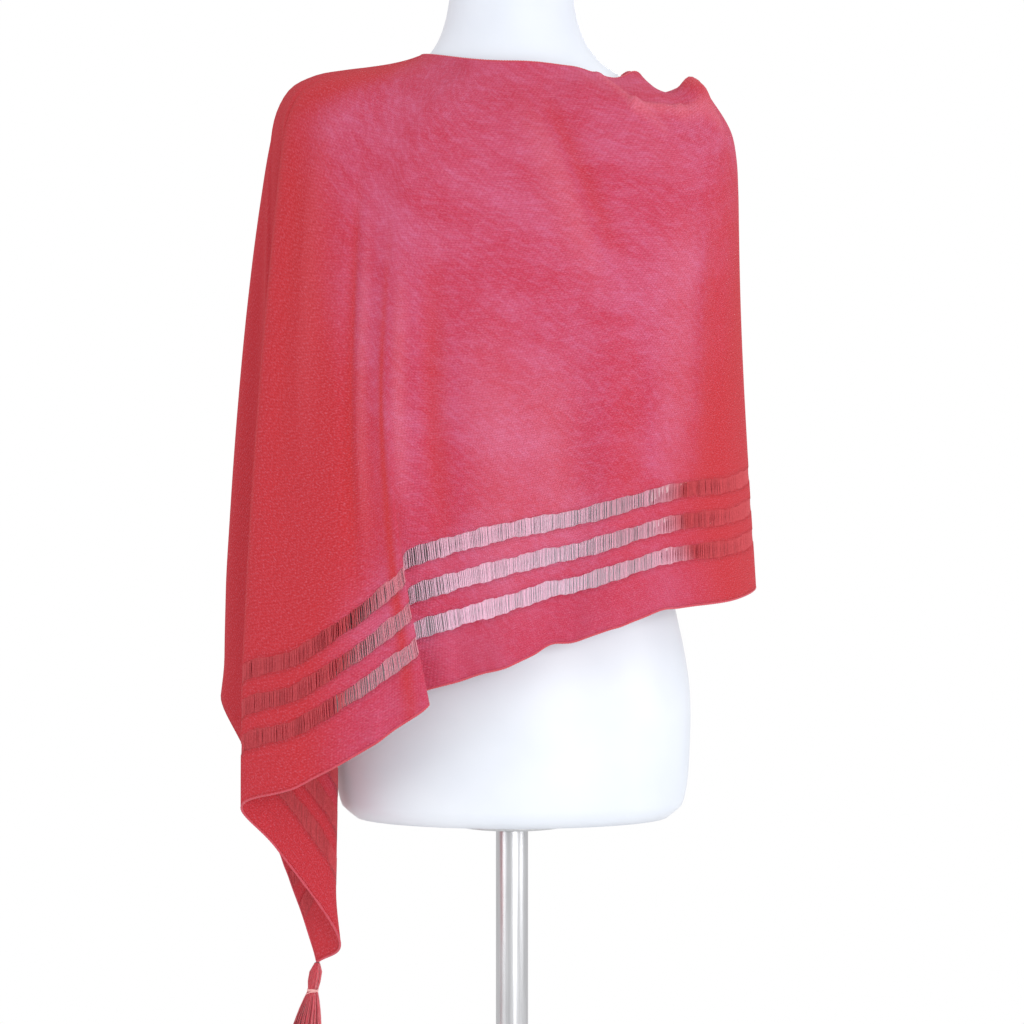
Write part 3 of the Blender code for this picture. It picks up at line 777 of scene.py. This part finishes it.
float_yarn, shader, tree, add = new_material("float_yarn", (0.52, 0.040, 0.065), 0.9)
strands = noise(add("TexCoord").outputs["Object"], 700.0, 2.0)
deep_red = blend(strands, (0.40, 0.020, 0.026, 1), (0.66, 0.095, 0.120, 1))
pale_pink = blend(strands, (0.78, 0.400, 0.550, 1), (0.95, 0.700, 0.840, 1))
# Where the white form stands behind, its light seen round the thin yarns is painted in as pale
# pink.
shown = blend(spread_out(kept_value("backing"), 0.30, 1.0), deep_red, pale_pink)
tree.links.new(shown, shader.inputs["Base Color"])
shader.inputs["Sheen Weight"].default_value = 0.12

# One run of random numbers serves the floats and then the tassel.
rng = np.random.default_rng(17)


def float_places(low):
    """The stations of a stripe's yarns: one pitch apart up to the point, and from there on evenly
    to where the short edge cuts the stripe off."""
    edge_stations = np.linspace(0, LAST_STATION, 2600)
    _, along, up = place_in_panel(edge_stations)
    end = np.interp(low + STRIPE_HIGH - 0.001, up, edge_stations)
    count = int(PANEL_LONG / FLOAT_PITCH)
    before = np.interp(np.arange(0.5, count) * FLOAT_PITCH, along, edge_stations)
    return np.append(before, np.arange(POINT_STATION, end, FLOAT_STATION_STEP)[1:])


def float_rings(places, low, phase):
    """Rings of points along each yarn of a stripe. A yarn runs up the panel, sags in by a half sine
    and leans aside by the same, with a slow wave along the panel and a random share. It is a little
    thicker at its ends, and each has its own thickness."""
    gather = 0.5 * np.sin(places * 21.0 + phase) + rng.uniform(-0.5, 0.5, len(places))
    top = low + STRIPE_HIGH + FLOAT_REACH
    grid, _, _ = panel_points(places, low - FLOAT_REACH, top, FLOAT_STEPS)
    normals = outward_normals(grid)
    aside = np.gradient(grid, axis=1)
    bow = np.sin(np.linspace(0, np.pi, FLOAT_STEPS))[:, None, None]
    lean = aside * (gather[None, :, None] * bow * FLOAT_LEAN)
    line = grid + normals * (KNIT_WALL / 2 - FLOAT_SAG * bow) + lean
    aside /= np.maximum(np.linalg.norm(aside, axis=2), 1e-9)[:, :, None]
    radii = np.interp(places, *FLOAT_RADII.T)
    thick = radii * (1.15 - 0.3 * bow[:, :, 0]) * rng.uniform(0.75, 1.25, len(places))
    thick = thick[:, :, None, None]
    turn = np.linspace(0, 2 * np.pi, FLOAT_SIDES, endpoint=False)[:, None]
    outward, sideways = thick * np.cos(turn), thick * np.sin(turn)
    rings = line[:, :, None] + outward * normals[:, :, None] + sideways * aside[:, :, None]
    return rings.transpose(1, 0, 2, 3)


for index, low in enumerate(stripe_lows):
    places = float_places(low)
    rings = float_rings(places, low, index)
    starts = np.arange(len(places))[:, None, None] * FLOAT_STEPS * FLOAT_SIDES
    faces = (grid_faces(FLOAT_STEPS, FLOAT_SIDES, True) + starts).reshape(-1, 4)
    piece = new_piece(f"float_row_{index + 1}", rings, faces, float_yarn)
    # Painted light of the form behind the yarns, less where they hang slack.
    slack = SLACK_SHADE * np.clip((places - PLEAT_STATION) / PLEAT_FADE, 0, 1)
    share = np.repeat(1 - slack, FLOAT_STEPS * FLOAT_SIDES)
    give_values(piece, "backing", form_behind(rings.reshape(-1, 3)) * share)

# ---- Edges and seam ----
# The neck edge and the hem roll a little, as stocking stitch does. The back seam is linked on a
# machine, so a fine ridge of crossed loops runs from the neck edge to the hem.

NECK_ROLL = 0.0011
HEM_ROLL = 0.0010
SEAM_RIDGE = 0.0012
ROLL_SIDES = 8
# How much the loops of an edge and of the seam swell, and how long each loop is.
EDGE_LOOPS = (0.12, 0.0023)
SEAM_LOOPS = (0.22, 0.0030)


def roll_along(line, normals, across, radius, swell, pitch):
    """A tube round a line, whose radius swells and shrinks evenly along it like a row of loops."""
    steps = np.linalg.norm(np.diff(line, axis=0), axis=1)
    run = np.append(0, np.cumsum(steps))
    size = radius * (1 + swell * np.sin(run / pitch * 2 * np.pi))[:, None, None]
    turn = np.linspace(0, 2 * np.pi, ROLL_SIDES, endpoint=False)
    ring = np.cos(turn)[:, None] * normals[:, None] + np.sin(turn)[:, None] * across[:, None]
    return line[:, None] + size * ring


def capped(points):
    """Faces of a tube of rings, with a fan at each end."""
    rings, sides = points.shape[:2]
    faces = grid_faces(rings, sides, True).tolist()
    last = (rings - 1) * sides
    return faces + [list(range(sides))[::-1], list(range(last, last + sides))]


edge_yarn, shader, tree, add = new_material("edge_yarn", (0.52, 0.040, 0.060), 0.9)
strands = noise(add("TexCoord").outputs["Object"], 520.0, 3.0)
shown = blend(strands, (0.48, 0.036, 0.056, 1), (0.60, 0.085, 0.125, 1))
tree.links.new(shown, shader.inputs["Base Color"])
bump = add("Bump", Strength=0.4, Distance=0.0004, Height=strands)
tree.links.new(bump.outputs["Normal"], shader.inputs["Normal"])
shader.inputs["Sheen Weight"].default_value = 0.22


def edge_tube(line, normals, radius):
    """The roll along an edge of the cloth. Across is square to both the cloth and the line."""
    across = np.cross(normals, np.gradient(line, axis=0))
    across /= np.maximum(np.linalg.norm(across, axis=1), 1e-9)[:, None]
    return roll_along(line, normals, across, radius, *EDGE_LOOPS)


fine_stations = np.linspace(0, LAST_STATION, 1300)
fine_stations = np.unique(np.append(fine_stations, POINT_STATION))
top_grid, _, _ = panel_points(fine_stations, 0.30, None, 60)
neck_normals = outward_normals(top_grid)[0]
neck_line = top_grid[0] + neck_normals * KNIT_WALL / 2
neck_tube = edge_tube(neck_line, neck_normals, NECK_ROLL)
neck_edge = new_piece("neck_roll", neck_tube, capped(neck_tube), edge_yarn)

# The hem roll stands square to the row of points just above the hem.
low_grid, _, _ = panel_points(fine_stations, 0.0, 0.20, 40)
hem_normals = outward_normals(low_grid)[-2]
hem_edge_line = low_grid[-1] + hem_normals * KNIT_WALL / 2
hem_tube = edge_tube(hem_edge_line, hem_normals, HEM_ROLL)
hem_edge = new_piece("hem_roll", hem_tube, capped(hem_tube), edge_yarn)

seam_grid, _, _ = panel_points(np.array([0.0, 0.05, 0.10]), 0.0, None, 420)
seam_line = seam_grid[:, 0] + np.array([0, KNIT_WALL * 0.9, 0])
seam_out = np.broadcast_to(np.array([0.0, 1.0, 0.0]), seam_line.shape)
seam_across = np.broadcast_to(np.array([1.0, 0.0, 0.0]), seam_line.shape)
seam_tube = roll_along(seam_line, seam_out, seam_across, SEAM_RIDGE, *SEAM_LOOPS)
seam = new_piece("back_seam", seam_tube, capped(seam_tube), edge_yarn)

# ---- Tassel ----
# A bundle of the panel's yarn hung by a loop from the pointed corner, bound at its waist with a
# paler thread and cut straight across, so its ends spread a little unevenly.

TASSEL_HEAD = np.array(
    [
        # down, radius
        (0.0000, 0.0020),
        (0.0030, 0.0042),
        (0.0100, 0.0062),
        (0.0170, 0.0056),
        (0.0235, 0.0042),
        (0.0275, 0.0056),
    ]
)
STRANDS = 230
STRAND_STEPS = 14
STRAND_SIDES = 3
STRAND_RADIUS = 0.00048
STRAND_WAVE = 0.0011
SKIRT_LONG = 0.078
SKIRT_SPREAD = 2.9
SKIRT_LEAN = -0.017

corner = hem_edge_line[np.searchsorted(fine_stations, POINT_STATION)]
tassel_top = np.array([corner[0], corner[1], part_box("tassel")[1][2]])

tassel_yarn, shader, tree, add = new_material("tassel_yarn", (0.52, 0.04, 0.06), 0.85)
place = add("TexCoord").outputs["Object"]
drawn_out = add("Mapping", Vector=place, Scale=(1.0, 1.0, 0.15)).outputs["Vector"]
shown = blend(noise(drawn_out, 900.0, 3.0), (0.50, 0.026, 0.040, 1), (0.74, 0.095, 0.135, 1))
tree.links.new(shown, shader.inputs["Base Color"])
shader.inputs["Sheen Weight"].default_value = 0.3


def lean_at(down):
    """How far the bundle has swung aside, in proportion to the distance down from its loop."""
    return SKIRT_LEAN * down / (TASSEL_HEAD[-1, 0] + SKIRT_LONG)


def tassel_strands():
    """Middle lines of the strands. They fill the bundle's round section in a sunflower spiral, are
    pinched and swollen with the head's outline, and then spread down the skirt by one less a cube.
    All lean aside, and each has its own length and its own small sine waves."""
    number = np.arange(STRANDS)
    reach = np.sqrt((number + 0.5) / STRANDS)
    angle = number * np.pi * (3 - np.sqrt(5)) + rng.uniform(-0.1, 0.1, STRANDS)
    ends = SKIRT_LONG * rng.uniform(0.93, 1.0, STRANDS)
    down = np.linspace(0, 1, STRAND_STEPS)[:, None] * (TASSEL_HEAD[-1, 0] + ends)
    head = np.interp(down, TASSEL_HEAD[:, 0], TASSEL_HEAD[:, 1])
    share = np.clip((down - TASSEL_HEAD[-1, 0]) / SKIRT_LONG, 0, 1)
    spread = 1 + (SKIRT_SPREAD - 1) * (1 - (1 - share) ** 3)
    radius = head * spread * reach * 0.93
    wave_x = STRAND_WAVE * share * np.sin(down * 90 + rng.uniform(0, 6.28, STRANDS))
    wave_y = STRAND_WAVE * share * np.sin(down * 75 + rng.uniform(0, 6.28, STRANDS))
    x = np.cos(angle) * radius + lean_at(down) + wave_x
    y = np.sin(angle) * radius + wave_y
    return np.stack([x, y, -down], 2) + tassel_top


# Each strand is a three-sided tube round its line, with a triangle at each end.
line = tassel_strands()
turn = 0.3 + np.arange(STRAND_SIDES) * 2 * np.pi / STRAND_SIDES
ring = np.stack([np.cos(turn), np.sin(turn), 0 * turn], 1)
thick = STRAND_RADIUS * rng.uniform(0.8, 1.25, STRANDS)[:, None, None]
strand_points = (line[:, :, None] + ring * thick).transpose(1, 0, 2, 3)
corners = STRAND_STEPS * STRAND_SIDES
starts = np.arange(STRANDS)[:, None, None] * corners
sides = grid_faces(STRAND_STEPS, STRAND_SIDES, True) + starts
ends = np.array([[2, 1, 0], [corners - 3, corners - 2, corners - 1]]) + starts
strand_faces = sides.reshape(-1, 4).tolist() + ends.reshape(-1, 3).tolist()
tassel = new_piece("tassel_strands", strand_points, strand_faces, tassel_yarn)
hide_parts("tassel")

# ---- Tassel tie ----
# Three turns of pale thread pulled tight round the tassel's waist, with the two cut ends of the
# knot left a few millimetres long.

TIE_DOWN = 0.0235
TIE_RADIUS = 0.00038
TIE_LOOPS = (0.08, 0.001)
TIE_TURNS = 3
TIE_TURN_STEPS = 26
TIE_CLIMB = 0.0007
TIE_CLEAR = 0.0004
TIE_END = 0.005
TIE_END_STEPS = 6
TIE_DROOPS = (60, 90)

tie_thread, shader, tree, add = new_material("tie_thread", (0.85, 0.42, 0.40), 0.8)
ply = noise(add("TexCoord").outputs["Object"], 1500.0, 2.0)
shown = blend(ply, (0.74, 0.30, 0.30, 1), (0.92, 0.58, 0.55, 1))
tree.links.new(shown, shader.inputs["Base Color"])


def cut_end(tail, end, before, droop):
    """Points of a cut end: straight on from the thread's last step, and down by a square."""
    way = (end - before) / np.linalg.norm(end - before)
    return end + tail * way - tail**2 * (0, 0, droop)


# The thread climbs a little in each turn. Its radial and upward directions carry the tube.
wound = np.linspace(0, TIE_TURNS * 2 * np.pi, TIE_TURNS * TIE_TURN_STEPS) - np.pi / 2
around = np.interp(TIE_DOWN, TASSEL_HEAD[:, 0], TASSEL_HEAD[:, 1]) + TIE_CLEAR
climb = (np.linspace(0, 1, len(wound)) - 0.5) * TIE_TURNS * TIE_CLIMB
thread = np.stack([around * np.cos(wound), around * np.sin(wound), climb - TIE_DOWN], 1)
tail = np.linspace(TIE_END, 0, TIE_END_STEPS, endpoint=False)[:, None]
first_end = cut_end(tail, thread[0], thread[1], TIE_DROOPS[0])
last_end = cut_end(tail[::-1], thread[-1], thread[-2], TIE_DROOPS[1])
thread = np.concatenate([first_end, thread, last_end])
wound = np.pad(wound, TIE_END_STEPS, mode="edge")
radial = np.stack([np.cos(wound), np.sin(wound), 0 * wound], 1)
upward = np.broadcast_to(np.array([0.0, 0.0, 1.0]), radial.shape)
swung = np.stack([lean_at(-thread[:, 2]), 0 * wound, 0 * wound], 1)
tie_tube = roll_along(thread + swung + tassel_top, radial, upward, TIE_RADIUS, *TIE_LOOPS)
tie = new_piece("tie_turns", tie_tube, capped(tie_tube), tie_thread)
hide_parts("tassel_tie")

# ---- Stand ----
# A flange screwed under the torso, a plain tube pole and a round weighted plate, all of steel
# brushed and left bare, with softly broken edges.

STAND_AROUND = 128
EDGE_STEPS = 6
# Each end comes in to a ring of this radius round the axis.
MIDDLE_RING = 0.0002
BROKEN_EDGES = {"stand_base": 0.003, "stand_pole": 0.0004, "stand_flange": 0.002}

stand_steel, shader, tree, add = new_material("stand_steel", (0.60, 0.61, 0.63), 0.32)
place = add("TexCoord").outputs["Object"]
drawn_out = add("Mapping", Vector=place, Scale=(1.0, 1.0, 0.02)).outputs["Vector"]
grain = noise(drawn_out, 700.0, 3.0)
shown = blend(grain, (0.50, 0.51, 0.53, 1), (0.70, 0.71, 0.73, 1))
tree.links.new(shown, shader.inputs["Base Color"])
tree.links.new(spread_out(grain, 0.0, 1.0, 0.24, 0.42), shader.inputs["Roughness"])
shader.inputs["Metallic"].default_value = 1.0
bump = add("Bump", Strength=0.08, Distance=0.0003, Height=grain)
tree.links.new(bump.outputs["Normal"], shader.inputs["Normal"])


def edged_profile(radius, bottom, top, broken_edge):
    """Radius and height from the middle out along the foot, up the side and back to the middle,
    with a quarter circle at both edges."""
    corner = np.radians(np.linspace(0, 90, EDGE_STEPS))
    less, more = broken_edge * (1 - np.sin(corner)), broken_edge * (1 - np.cos(corner))
    foot = [(MIDDLE_RING, bottom), (radius * 0.6, bottom)]
    head = [(radius * 0.6, top), (MIDDLE_RING, top)]
    lower = np.column_stack([radius - less, bottom + more])
    upper = np.column_stack([radius - more, top - less])
    return np.concatenate([foot, lower, upper, head])


def turned(profile):
    """A profile of radius and height turned about the upright axis."""
    turn = np.linspace(0, 2 * np.pi, STAND_AROUND, endpoint=False)
    radius, height = profile.T[:, :, None]
    return np.stack([radius * np.cos(turn), radius * np.sin(turn), height + 0 * turn], 2)


for node, broken_edge in BROKEN_EDGES.items():
    low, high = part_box(node)
    points = turned(edged_profile(high[0], low[2], high[2], broken_edge))
    faces = grid_faces(*points.shape[:2], True)
    piece = new_piece(node.replace("stand_", "turned_"), points, faces, stand_steel)
    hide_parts(node)

# ---- Floor, light and camera ----
# A pale round floor under the stand, a soft light near the camera on its right, weaker ones at the
# left, above and behind, a white surround, and the camera at the height of the poncho's middle.
# The frame spans 1024 pixels of this size at the middle of the form.

PIXEL = 0.00087
FLOOR_RINGS = np.array([0.001, 1.0, 2.7])
FLOOR_AROUND = 96
FLOOR_LOW = 0.0005
VIEW_FROM = 2.3
VIEW_HIGH = 1.0242

floor_colour = new_material("pale_floor", (0.82, 0.82, 0.82), 0.7)[0]
turn = np.linspace(0, 2 * np.pi, FLOOR_AROUND, endpoint=False)
rings = FLOOR_RINGS[:, None]
level = 0 * rings * turn - FLOOR_LOW
floor_points = np.stack([rings * np.cos(turn), rings * np.sin(turn), level], 2)
floor_faces = grid_faces(*floor_points.shape[:2], True)
floor_mesh = bpy.data.meshes.new("floor")
floor_mesh.from_pydata(floor_points.reshape(-1, 3).tolist(), [], floor_faces.tolist())
floor_mesh.materials.append(floor_colour)
floor = bpy.data.objects.new("floor", floor_mesh)
bpy.context.scene.collection.objects.link(floor)

world = bpy.data.worlds.new("studio")
world.use_nodes = True
sky = world.node_tree
soft = sky.nodes["Background"]
soft.inputs["Color"].default_value = (1.0, 0.985, 0.98, 1)
soft.inputs["Strength"].default_value = 0.76
backdrop = sky.nodes.new("ShaderNodeBackground")
backdrop.inputs["Color"].default_value = (1.0, 1.0, 1.0, 1)
seen = sky.nodes.new("ShaderNodeLightPath").outputs["Is Camera Ray"]
both = sky.nodes.new("ShaderNodeMixShader")
sky.links.new(seen, both.inputs["Fac"])
sky.links.new(soft.outputs["Background"], both.inputs[1])
sky.links.new(backdrop.outputs["Background"], both.inputs[2])
sky.links.new(both.outputs["Shader"], sky.nodes["World Output"].inputs["Surface"])
bpy.context.scene.world = world

LIGHTS = [
    # name, place, aimed_at, size, watts
    ("key", (1.2, -2.9, 1.25), (0.0, 0.0, 1.08), 1.3, 32.0),
    ("side", (2.6, -0.9, 1.3), (0.0, 0.0, 1.05), 1.2, 15.0),
    ("fill", (-2.6, -1.6, 1.4), (0.0, 0.0, 1.00), 1.5, 18.0),
    ("top", (0.2, 0.5, 3.2), (0.0, 0.0, 1.20), 1.6, 8.0),
    ("back", (0.6, 3.0, 1.8), (0.0, 0.0, 1.05), 1.6, 24.0),
]
for name, place, aimed_at, size, watts in LIGHTS:
    lamp = bpy.data.lights.new(name, "AREA")
    lamp.shape, lamp.size, lamp.energy = "DISK", size, watts
    holder = bpy.data.objects.new(name, lamp)
    aside, ahead, upward = np.array(aimed_at) - np.array(place)
    tilt, swing = np.arctan2(np.hypot(aside, ahead), -upward), np.arctan2(-aside, ahead)
    holder.location = place
    holder.rotation_euler = (tilt, 0, swing)
    bpy.context.scene.collection.objects.link(holder)

camera = bpy.data.cameras.new("camera")
camera.sensor_width = 36.0
camera.lens = camera.sensor_width * VIEW_FROM / (1024 * PIXEL)
camera_holder = bpy.data.objects.new("camera", camera)
camera_holder.location = (0.0, -VIEW_FROM, VIEW_HIGH)
camera_holder.rotation_euler = (np.pi / 2, 0, 0)
bpy.context.scene.collection.objects.link(camera_holder)
bpy.context.scene.camera = camera_holder
bpy.context.scene.view_settings.view_transform = "Standard"
